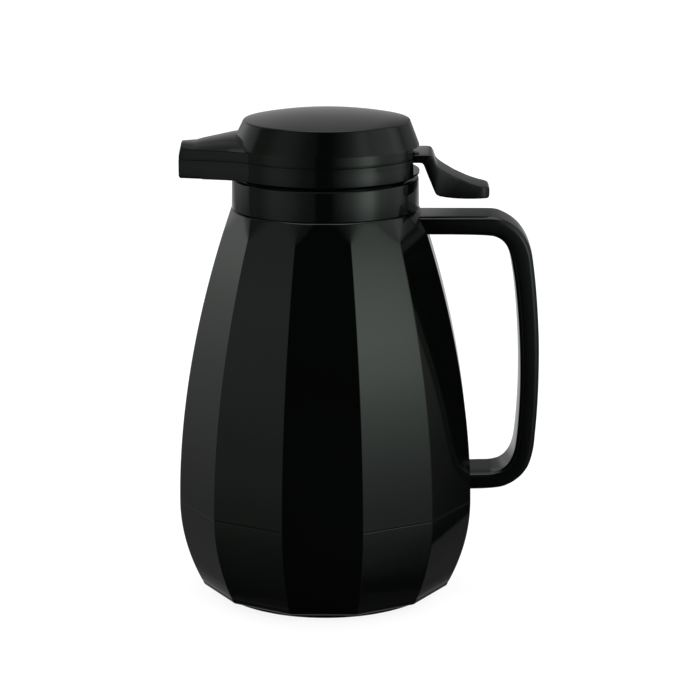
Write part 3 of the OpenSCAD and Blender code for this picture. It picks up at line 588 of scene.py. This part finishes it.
def build_cover():
    """Upper shell of the lid."""
    out = lid_outline(-0.15, SPOUT_TIP - 0.05)
    n = len(out)
    in_slot = (np.abs(out[:, 1]) < SLOT_Y + 1e-6) & (out[:, 0] > 0)
    spout = (out[:, 0] < -36) & (reach(out) > SPOUT_FROM)
    tip = spout & (out[:, 0] < TIP_FROM)
    foot = np.where(in_slot, SLOT_TOP, SEAM_Z - sag(out[:, 0]))
    foot = np.where(mouth(out), MOUTH_TOP, foot)
    rings = []

    def ring(xy, z):
        rings.append(np.column_stack([xy, z]))

    # a fine rounding at the seam, then the side wall; the tip's upper half leans back
    rise = np.where(in_slot, 0.02, 0.28)
    ring(inset(out, 0.3), foot)
    ring(inset(out, 0.08), foot + rise * 0.25)
    ring(out, foot + rise)
    edge = np.maximum(np.where(spout, lid_height(out) - ROOF_DROP, WALL_TOP_Z), foot + 0.04)
    for share in (0.33, 0.66, 1.0):
        back = out.copy()
        back[tip, 0] += 0.9 * share ** 2
        ring(back, foot + rise + (edge - foot - rise) * share)
    # the spout's columns round over to the roof, the round part's bend softly into the cone
    for turn, r, z in ((25, 46.09, 222.3), (50, 46.05, 222.55), (75, 45.98, 222.8)):
        c, s = polar(1, math.radians(turn))
        xy = inset(back, 0.5 * (1 - c))
        top = lid_height(xy) - ROOF_DROP * (1 - s)
        ring(np.where(spout[:, None], xy, out_to(out, r)), np.where(spout, top, z))
    start_xy = np.where(spout[:, None], inset(back, 0.52), out_to(out, 45.9))
    start = reach(start_xy)
    for t in np.linspace(0, 1, 46):
        xy = out_to(start_xy, start + (43.6 - start) * t)
        ring(xy, lid_height(xy))
    for r in (*np.linspace(43.45, 38, 36), *np.linspace(37.5, 22, 20), *np.linspace(21, 1.2, 14)):
        xy = out_to(start_xy, r)
        ring(xy, lid_height(xy))
    # the underside, from its middle outwards
    m = len(rings)
    for r in (1.2, 16.0, 30.0, 38.0, 42.0):
        xy = out_to(start_xy, r)
        ring(xy, lid_height(xy) - COVER_THICK)
    wall = inset(out, LID_WALL)
    ring(wall, np.where(spout, lid_height(wall) - LID_WALL, 222.5))
    ring(wall, np.where(in_slot, 222.3, foot))
    # no faces between the two rings in the middle: a fan closes either one
    verts, faces = looped(rings)
    faces = [f for i, f in enumerate(faces) if i // n != m - 1]
    middle = len(verts)
    height = lid_height(np.array([[0.0, 0.0]]))[0]
    verts = np.vstack([verts, [[0, 0, height]], [[0, 0, height - COVER_THICK]]])
    for k in range(n):
        q = (k + 1) % n
        faces.append(((m - 1) * n + k, (m - 1) * n + q, middle))
        faces.append((m * n + q, m * n + k, middle + 1))
    return verts, faces


def build_base():
    """Lower shell of the lid. Its foot flares a little, so that it covers the edge of the plug's flange."""
    out = lid_outline(0.0, SPOUT_TIP)
    n = len(out)
    rho = reach(out)
    in_slot = (np.abs(out[:, 1]) < SLOT_Y - 1e-6) & (out[:, 0] > 0)
    tip = (out[:, 0] < -60) & (rho > SPOUT_FROM)
    channel = (out[:, 0] < 0) & (np.abs(np.arctan2(out[:, 1], -out[:, 0])) < CHANNEL_TURN)
    top = np.where(mouth(out), MOUTH_FLOOR, SEAM_Z - sag(out[:, 0]))
    top = np.where(in_slot, SLOT_FLOOR, top)
    upper_xy = out.copy()
    upper_xy[in_slot, 0] = 36.5
    flare = np.where(in_slot, 0.0, 0.35 * np.clip((50.0 - rho) / 3.9, 0.0, 1.0))
    foot_xy = upper_xy * (1 + flare / rho)[:, None]
    rings = []

    def ring(xy, z):
        rings.append(np.column_stack([xy, np.broadcast_to(z, n)]))

    def low(xy):
        return np.where(in_slot, FLANGE_Z, FOOT_Z - sag(xy[:, 0]))

    # the side wall from the seam down, rounded over at the foot
    ring(inset(upper_xy, 0.3), top)
    ring(inset(upper_xy, 0.08), top - 0.07)
    ring(upper_xy, top - 0.28)
    soft = np.where(in_slot, 0.2, np.where(tip, 1.6, 0.6))
    inner = inset(foot_xy, 1.0) - foot_xy
    for turn in (0, 22, 45, 68, 90):
        c, s = polar(1, math.radians(turn))
        xy = foot_xy + inner * (soft * (1 - c))[:, None]
        ring(xy, low(foot_xy) + soft * (1 - s))
    # the underside, with the recess for the flange and the bore for the plug
    under = out_to(out, 45.2)
    under[in_slot, 0] = 36.2
    for t in (0.3, 0.65, 1.0):
        along = xy + (under - xy) * t
        ring(along, low(along))
    ring(under, FLANGE_Z)
    bore = out_to(out, PLUG_BORE_R)
    ring(bore, FLANGE_Z)
    floor_top = np.where(channel, CHANNEL_FLOOR, SLOT_FLOOR)
    ring(bore, floor_top)
    # the inside
    wall = inset(out, LID_WALL)
    wall[in_slot, 0] = 36.0
    ring(out_to(wall, np.minimum(reach(wall), LID_R - LID_WALL)), floor_top)
    ring(wall, np.where(in_slot, SLOT_FLOOR, np.minimum(top - 1.0, floor_top)))
    ring(wall, top)
    # this row of rings runs down the outside and up the inside, so the faces are turned round
    verts, faces = looped(rings)
    return verts, turned(faces)


piece("lid_cover_skin", *build_cover(), "satin", "lid", ["lid_cover"], sharp=38)
ears = [block(35, 40, 15.4, 18.4, 210.4, 219.9), block(35, 40, -18.4, -15.4, 210.4, 219.9)]
piece("lid_base_skin", *join([build_base()] + ears), "satin", "lid", ["lid_base"], sharp=38)

# Lever: a thumb tab, its hub and two arms to the valve's stem

TAB_CORNER, TAB_CORNER_X = 4.0, 76.5
top_edge = [(37.5, 219.35), (44, 219.35), (50.2, 219.35), (51.9, 218.95), (53.0, 217.6), (53.8, 215.5),
            (54.6, 213.9), (55.7, 212.8), (57.8, 211.35), (60.8, 209.6), (63.8, 208.0), (67.0, 206.6),
            (70.6, 205.1), (75.5, 203.6), (78.7, 202.95), (80.0, 202.4), (80.5, 201.4)]
low_edge = [(37.5, 215.3), (42.0, 215.3), (46.2, 215.25), (47.5, 214.9), (48.3, 213.8), (49.7, 210.2),
            (51.6, 205.6), (53.2, 201.7), (54.2, 199.8), (55.5, 198.8), (57.2, 198.25), (60.2, 197.7),
            (64.4, 197.25), (70.7, 197.0), (78.2, 197.1), (80.0, 197.4), (80.5, 198.3)]


def tab_half_width(x):
    """Half the tab's width, which narrows outwards and rounds off at the tip."""
    past = max(0.0, x - TAB_CORNER_X)
    rounding = TAB_CORNER - math.sqrt(max(0.0, TAB_CORNER ** 2 - past ** 2))
    return np.interp(x, (52, 66, 94), (15.0, 12.0, 9.2)) - rounding


def tab_slice(thick, edge_x, middle_x):
    half_width = min(tab_half_width(edge_x), tab_half_width(middle_x))
    return bar_section(thick, 2 * half_width, min(0.9, thick * 0.45))


tab = bar_between(smooth_line(top_edge, 7), smooth_line(low_edge, 7), tab_slice)
arms = []
for y in (-7.6, 7.6):
    arms.append(block(0, 39.5, y - 2, y + 2, 218.5, 222.1, 0.4))
    arms.append(rod(0, 220.3, y - 2, y + 2, 2.0))
hub = rod(37.5, 217.4, -15, 15, 3.1)
piece("lever_skin", *join([tab, hub] + arms), "satin", "lever", ["lever"], sharp=45)

# Spring

winding = coil(radius=5.5, wire=0.5, z0=224.5, z1=236.5, turns=6)
spring = piece("spring_coil", *winding, "wire", "lid", ["valve_spring"], sharp=80)
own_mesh(spring)

# Inner wall of the flask: a rounded bottom, then sides that draw in to the neck

FLASK_R, FLASK_BOTTOM_Z, FLASK_CORNER, FLASK_WALL = 59.1, 18.9, 10.1, 0.8
DRAW_IN, DRAW_START_Z, DRAW_END_Z = 24.6, 88, 174.5

line = []
for a in np.radians(range(-90, 1, 10)):
    x, z = polar(FLASK_CORNER, a)
    line.append((FLASK_R - FLASK_CORNER + x, FLASK_BOTTOM_Z + FLASK_CORNER + z))
for t in np.linspace(0.04, 1, 26):
    drawn = DRAW_IN * (1 - math.cos(math.pi * t ** 1.15)) / 2
    line.append((FLASK_R - drawn, DRAW_START_Z + (DRAW_END_Z - DRAW_START_Z) * t))
inside = [(x, z, 0) for x, z in line]
outside = [(x + FLASK_WALL, z, 0) for x, z in line]
outside[0] = (outside[0][0], FLASK_BOTTOM_Z - FLASK_WALL, 0)
rim = [(35.3, 191.7, 0), (38.3, 191.7, 0.1), (38.3, 192.5, 0.3), (34.5, 192.5, 0.3)]
middle = [(0.02, FLASK_BOTTOM_Z, 0), (0.02, FLASK_BOTTOM_Z - FLASK_WALL, 0)]
outline = outside + rim + inside[::-1] + middle
piece("flask_liner", *revolved(outline, 192), "steel", "carafe", ["flask_inner_wall"], sharp=40)

# CAD nodes that keep their own mesh

CARRIED = {
    "base_plug": "dark", "base_pad": "pad", "neck_gasket": "seal", "flask_outer_wall": "steel",
    "flask_seal_cap": "steel", "flask_cushion": "cushion", "handle_screws": "screw", "lid_plug": "satin",
    "lid_gasket": "seal", "chamber_cover": "dark", "stem_seal": "seal", "spout_duct": "dark",
    "lid_screws": "screw", "valve_stem": "pale", "valve_seal": "seal", "lever_pin": "screw",
}
for node, kind in CARRIED.items():
    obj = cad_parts[node]
    obj.data.materials.clear()
    obj.data.materials.append(M[kind])

# Camera, solved from the photograph

SENSOR, FOCAL_PIXELS, PHOTO_PIXELS = 36, 2500, 700
CAMERA_AT, CAMERA_AIM = (0.03032, -1.21442, 0.41649), (-0.01457, 0.9717, -0.2357)
camera_data = bpy.data.cameras.new("camera")
camera_data.sensor_width = SENSOR
camera_data.lens = FOCAL_PIXELS * SENSOR / PHOTO_PIXELS
camera = bpy.data.objects.new("camera", camera_data)
camera.location = CAMERA_AT
camera.rotation_euler = Vector(CAMERA_AIM).to_track_quat("-Z", "Y").to_euler()
bpy.context.scene.collection.objects.link(camera)
bpy.context.scene.camera = camera
bpy.context.scene.view_settings.view_transform = "Standard"

# Studio


def math_node(tree, operation, a, b=None):
    node = tree.nodes.new("ShaderNodeMath")
    node.operation = operation
    for i, value in enumerate((a, b)):
        if value is None:
            continue
        if isinstance(value, (int, float)):
            node.inputs[i].default_value = value
        else:
            tree.links.new(value, node.inputs[i])
    return node.outputs[0]


def ramp_node(tree, value, stops):
    """Grey level over a value, from (value, level) stops."""
    node = tree.nodes.new("ShaderNodeValToRGB")
    ramp = node.color_ramp
    ramp.interpolation = "LINEAR"
    while len(ramp.elements) > 1:
        ramp.elements.remove(ramp.elements[-1])
    ramp.elements[0].position = stops[0][0]
    ramp.elements[0].color = (stops[0][1],) * 3 + (1,)
    for position, level in stops[1:]:
        element = ramp.elements.new(position)
        element.color = (level,) * 3 + (1,)
    tree.links.new(value, node.inputs["Fac"])
    return node.outputs["Color"]


def combined(tree, blend_type, a, b):
    node = tree.nodes.new("ShaderNodeMixRGB")
    node.blend_type = blend_type
    node.inputs[0].default_value = 1.0
    tree.links.new(a, node.inputs[1])
    tree.links.new(b, node.inputs[2])
    return node.outputs[0]


def turn_share(tree, x, y):
    """Angle round the object: 0 on the camera's side, 0.25 to the right, 0.5 behind, 0.75 to the left."""
    turn = math_node(tree, "ARCTAN2", x, math_node(tree, "MULTIPLY", y, -1.0))
    turn = math_node(tree, "DIVIDE", turn, 2 * math.pi)
    return math_node(tree, "FRACT", math_node(tree, "ADD", turn, 1.0))


def elevation_stops(pairs):
    """Stops over a direction's height, from (elevation in degrees, level) pairs."""
    return [((math.sin(math.radians(e)) + 1) / 2, level) for e, level in pairs]


def seen_by_camera(tree, seen, otherwise):
    """One shader for the camera, and another one for all other rays."""
    path = tree.nodes.new("ShaderNodeLightPath")
    mix = tree.nodes.new("ShaderNodeMixShader")
    tree.links.new(path.outputs["Is Camera Ray"], mix.inputs[0])
    tree.links.new(otherwise.outputs[0], mix.inputs[1])
    tree.links.new(seen.outputs[0], mix.inputs[2])
    return mix.outputs[0]


world = bpy.data.worlds.new("studio")
bpy.context.scene.world = world
world.use_nodes = True
tree = world.node_tree
tree.nodes.clear()
coords = tree.nodes.new("ShaderNodeTexCoord")
parts = tree.nodes.new("ShaderNodeSeparateXYZ")
tree.links.new(coords.outputs["Generated"], parts.inputs[0])
share = turn_share(tree, parts.outputs["X"], parts.outputs["Y"])
height = math_node(tree, "ADD", math_node(tree, "MULTIPLY", parts.outputs["Z"], 0.5), 0.5)


def world_patch(turn_stops, elevations):
    return combined(tree, "MULTIPLY", ramp_node(tree, share, turn_stops),
                    ramp_node(tree, height, elevation_stops(elevations)))


left_back = world_patch(
    [(0.5, 0.0), (0.58, 0.7), (0.64, 1.0), (0.69, 1.0), (0.73, 0.45), (0.8, 0.2), (0.96, 0.0)],
    [(-60, 0.1), (-25, 0.125), (-16, 0.157), (-12, 0.21), (-4, 0.37), (1, 0.55), (5, 0.8), (9, 0.8),
     (14, 0.5), (25, 0.3), (60, 0.25)])
right_back = world_patch(
    [(0.04, 0.0), (0.2, 0.5), (0.3, 1.0), (0.38, 1.0), (0.45, 0.5), (0.5, 0.0)],
    [(-60, 0.05), (-31, 0.074), (-24, 0.083), (-14, 0.118), (-6, 0.17), (2, 0.22), (12, 0.26), (40, 0.3)])
behind = world_patch(
    [(0.4, 0.0), (0.45, 0.9), (0.5, 1.0), (0.55, 0.9), (0.6, 0.0)],
    [(-60, 0.2), (-30, 0.5), (-12, 0.5), (-4, 0.2), (2, 0.12), (12, 0.12), (28, 0.2), (45, 0.28), (80, 0.3)])
above = math_node(tree, "MULTIPLY",
                  ramp_node(tree, height, elevation_stops([(54, 0.0), (62, 0.7), (74, 1.0)])), 1.5)
level = left_back
for patch in (right_back, behind, above):
    level = combined(tree, "ADD", level, patch)
studio = tree.nodes.new("ShaderNodeBackground")
tree.links.new(level, studio.inputs["Color"])
white = tree.nodes.new("ShaderNodeBackground")
white.inputs["Color"].default_value = (1, 1, 1, 1)
output = tree.nodes.new("ShaderNodeOutputWorld")
tree.links.new(seen_by_camera(tree, white, studio), output.inputs["Surface"])

# the camera sees the floor white where it is lit, and a little darker in the object's shadow
FLOOR_SIZE, FLOOR_Z = 8, -0.0003
FLOOR_GREY, SEEN_GREY, SEEN_SHINE = (0.8,) * 3, (0.2,) * 3, 0.87
bpy.ops.mesh.primitive_plane_add(size=FLOOR_SIZE, location=(0, 0, FLOOR_Z))
floor = bpy.context.object
floor.name = "floor"
floor_material, floor_tree, floor_shader = principled("floor_white", FLOOR_GREY, 0.9)
shadowed = floor_tree.nodes.new("ShaderNodeBsdfDiffuse")
shadowed.inputs["Color"].default_value = (*SEEN_GREY, 1)
shine = floor_tree.nodes.new("ShaderNodeEmission")
shine.inputs["Color"].default_value = (1, 1, 1, 1)
shine.inputs["Strength"].default_value = SEEN_SHINE
seen = floor_tree.nodes.new("ShaderNodeAddShader")
floor_tree.links.new(shadowed.outputs[0], seen.inputs[0])
floor_tree.links.new(shine.outputs[0], seen.inputs[1])
floor_tree.links.new(seen_by_camera(floor_tree, seen, floor_shader),
                     floor_tree.nodes["Material Output"].inputs["Surface"])
floor.data.materials.append(floor_material)
floor.visible_glossy = False


def softbox(name, start, end, radius, gain, turn_stops, height_stops, low=-0.45, high=0.6, columns=48):
    """Curved soft light card round the object. Its level follows the angle in degrees, from start to end,
    and the height in millimetres. The other lengths are in metres."""
    verts, faces = [], []
    for i in range(columns + 1):
        a = math.radians(start + (end - start) * i / columns)
        for z in (low, high):
            verts.append((radius * math.sin(a), -radius * math.cos(a), z))
    for i in range(columns):
        faces.append((2 * i, 2 * i + 1, 2 * i + 3, 2 * i + 2))
    mesh = bpy.data.meshes.new(name)
    mesh.from_pydata(verts, [], faces)
    card = bpy.data.objects.new(name, mesh)
    bpy.context.scene.collection.objects.link(card)
    material = bpy.data.materials.new(name)
    material.use_nodes = True
    tree = material.node_tree
    tree.nodes.clear()
    place = tree.nodes.new("ShaderNodeNewGeometry")
    split = tree.nodes.new("ShaderNodeSeparateXYZ")
    tree.links.new(place.outputs["Position"], split.inputs[0])
    share = turn_share(tree, split.outputs["X"], split.outputs["Y"])
    up = math_node(tree, "DIVIDE", math_node(tree, "SUBTRACT", split.outputs["Z"], low), high - low)
    glow = tree.nodes.new("ShaderNodeEmission")
    glow.inputs["Strength"].default_value = gain
    turn_stops = sorted(((a / 360) % 1.0, v) for a, v in turn_stops)
    height_stops = [(((z + LIFT) * MM - low) / (high - low), v) for z, v in height_stops]
    level = combined(tree, "MULTIPLY", ramp_node(tree, share, turn_stops), ramp_node(tree, up, height_stops))
    tree.links.new(level, glow.inputs["Color"])
    end_node = tree.nodes.new("ShaderNodeOutputMaterial")
    tree.links.new(glow.outputs[0], end_node.inputs["Surface"])
    mesh.materials.append(material)
    card.visible_camera = False
    card.visible_shadow = False


softbox(
    "light_right", start=8, end=116, radius=0.4, gain=1.8,
    turn_stops=[
        (8, 0.0), (12, 0.05), (18, 0.11), (25, 0.22), (31, 0.32), (38, 0.55), (46, 0.9), (52, 1.0),
        (57, 0.96), (62, 0.62), (69, 0.36), (81, 0.29), (99, 0.3), (108, 0.16), (116, 0.0)],
    height_stops=[
        (-370, 0.02), (-243, 0.07), (-134, 0.1), (-62, 0.16), (-30, 0.19), (20, 0.28), (63, 0.42), (105, 0.6),
        (147, 0.86), (190, 0.98), (233, 0.94), (277, 0.81), (312, 0.62), (400, 0.44), (560, 0.2)])
softbox(
    "light_left", start=-100, end=-8, radius=0.38, gain=0.36,
    turn_stops=[
        (-8, 0.0), (-9, 0.02), (-11, 0.24), (-25, 0.4), (-38, 0.8), (-50, 1.0), (-62, 1.0), (-70, 0.75),
        (-81, 0.42), (-96, 0.35), (-100, 0.25)],
    height_stops=[
        (-400, 0.14), (-236, 0.175), (-129, 0.26), (-59, 0.45), (-28, 0.48), (15, 0.63), (63, 0.7),
        (105, 0.84), (147, 0.91), (188, 0.96), (224, 0.98), (267, 0.91), (301, 0.88), (400, 0.85),
        (560, 0.6)])
softbox(
    "light_back", start=165, end=206, radius=0.4, gain=0.37, low=0.2, high=0.75,
    turn_stops=[
        (165, 0.34), (169, 0.38), (172, 0.85), (176, 0.95), (180, 1.0), (193, 1.0), (199, 0.9), (206, 0.7)],
    height_stops=[(190, 1.0), (330, 1.0), (500, 0.85), (740, 0.8)])
softbox(
    "light_side", start=62, end=116, radius=0.39, gain=0.62, low=0.235, high=0.6,
    turn_stops=[(62, 0.95), (74, 1.0), (88, 1.0), (97, 1.15), (104, 0.9), (111, 0.45), (116, 0.2)],
    height_stops=[(235, 0.75), (270, 1.0), (420, 1.0), (600, 0.6)])

FILL_TURNS, FILL_RISE, FILL_STRENGTH, FILL_ANGLE = (-130, -50, 50, 130), 18, 2.3, 60


def fill_light(name, turn):
    """Soft even light that isn't mirrored in the glossy surfaces."""
    data = bpy.data.lights.new(name, "SUN")
    data.energy = FILL_STRENGTH
    data.angle = math.radians(FILL_ANGLE)
    lamp = bpy.data.objects.new(name, data)
    a, e = math.radians(turn), math.radians(FILL_RISE)
    towards = Vector((math.cos(e) * math.sin(a), -math.cos(e) * math.cos(a), math.sin(e)))
    lamp.rotation_euler = towards.to_track_quat("Z", "Y").to_euler()
    lamp.visible_glossy = False
    bpy.context.scene.collection.objects.link(lamp)


for turn in FILL_TURNS:
    fill_light("fill_%d" % (turn % 360), turn)
